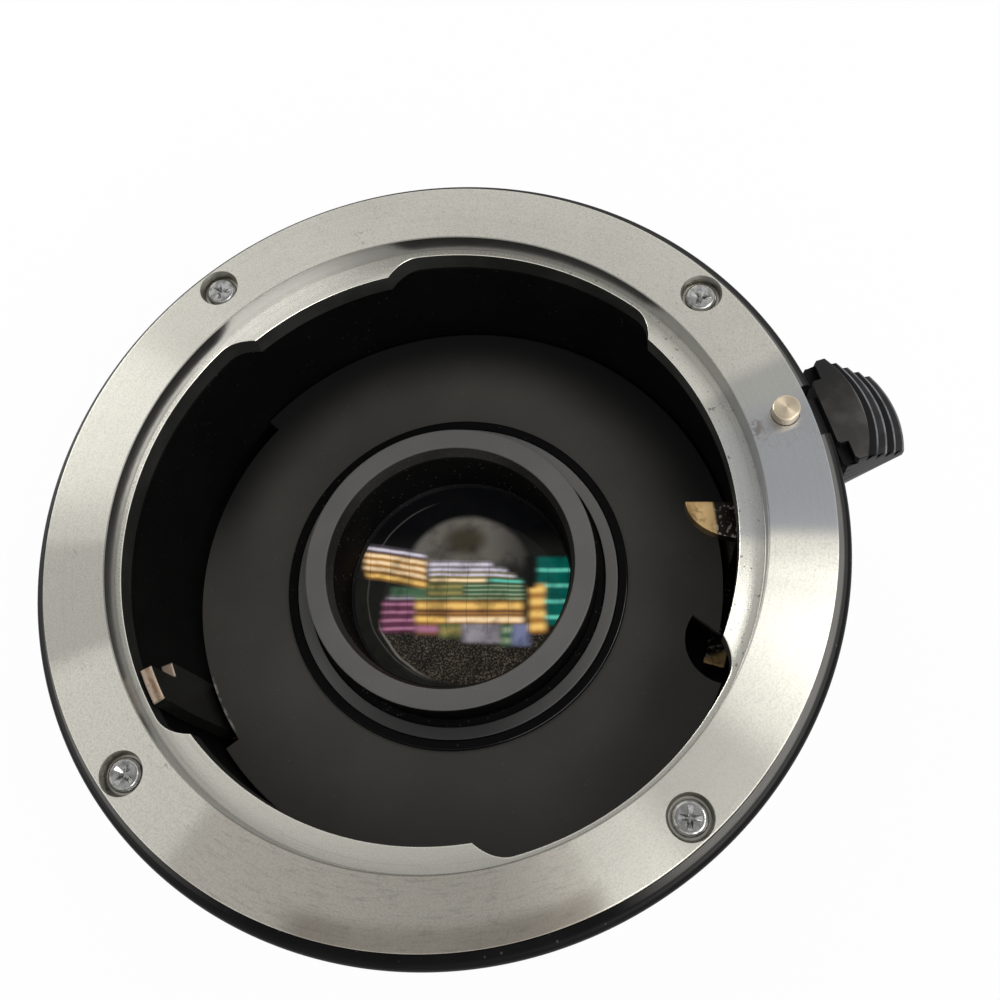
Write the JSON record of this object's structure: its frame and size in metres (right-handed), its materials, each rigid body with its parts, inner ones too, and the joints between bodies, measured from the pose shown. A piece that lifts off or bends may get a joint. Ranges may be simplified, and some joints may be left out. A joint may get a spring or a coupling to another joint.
{
  "type": "camera teleconverter",
  "caption": "Short black barrel with a chromed lugged bayonet socket, sprung lock pin and release slide in front, a lens cell inside, and a matching bayonet behind.",
  "frame": {"origin": "centre of the rear mounting face, on the optical axis", "axes": "+Z along the optical axis from the camera to the lens, +X through the lock pin and release slide"},
  "size_m": [0.0716, 0.0644, 0.0451],
  "materials": {
    "chrome": "satin chrome on brass",
    "black_body": "satin black enamel",
    "satin_black": "satin black anodised",
    "gloss_black": "gloss black",
    "matte_black": "matt black",
    "dark_alloy": "black anodised",
    "brass": "bare brass",
    "blackened_brass": "blackened brass",
    "steel": "plain steel",
    "glass": "coated optical glass",
    "slide_black": "moulded black"
  },
  "bodies": {
    "housing": {"front_flange": "chrome", "rear_mount": "chrome", "body_shell": "black_body", "floor_baffle": "satin_black", "lens_cell": "satin_black", "gloss_ring": "gloss_black", "front_retaining_ring": "matte_black", "front_spacer": "matte_black", "middle_spacer": "matte_black", "rear_spacer": "matte_black", "rear_retaining_ring": "matte_black", "rear_mask": "matte_black", "inner_tube": "dark_alloy", "ring_keeper": "dark_alloy", "ring_spacer": "dark_alloy", "front_screws": "steel", "rear_screws": "steel", "tube_screws": "steel", "lug_springs": "steel", "lock_spring": "steel", "spring_posts": "steel", "aperture_spring": "steel", "stop_down_spring": "steel", "front_element": "glass", "second_element": "glass", "third_element": "glass", "fourth_element": "glass", "rear_element": "glass"},
    "release": {"release_slide": "slide_black", "release_link": "steel", "lock_pin": "brass"},
    "aperture_coupling": {"aperture_ring": "brass", "aperture_front_lever": "blackened_brass", "aperture_rear_lever": "brass", "aperture_rivets": "brass"},
    "stop_down": {"stop_down_ring": "brass", "stop_down_front_lever": "brass", "stop_down_rear_lever": "brass", "stop_down_rivets": "brass"}
  },
  "joints": [
    {"name": "release_press", "type": "slide", "parent": "housing", "child": "release", "axis": [0, 0, -1], "range_m": [0, 0.0014], "stiffness_N_per_m": 400, "springref_m": -0.003, "deforming": ["lock_spring"]},
    {"name": "aperture_turn", "type": "hinge", "parent": "housing", "child": "aperture_coupling", "pos_m": [0, 0, 0.019], "axis": [0, 0, -1], "range_deg": [0, 60], "stiffness_Nm_per_rad": 0.002, "springref_deg": -28.65, "deforming": ["aperture_spring"]},
    {"name": "stop_down_turn", "type": "hinge", "parent": "housing", "child": "stop_down", "pos_m": [0, 0, 0.0149], "axis": [0, 0, -1], "range_deg": [0, 15], "stiffness_Nm_per_rad": 0.002, "springref_deg": -28.65, "deforming": ["stop_down_spring"]}
  ]
}
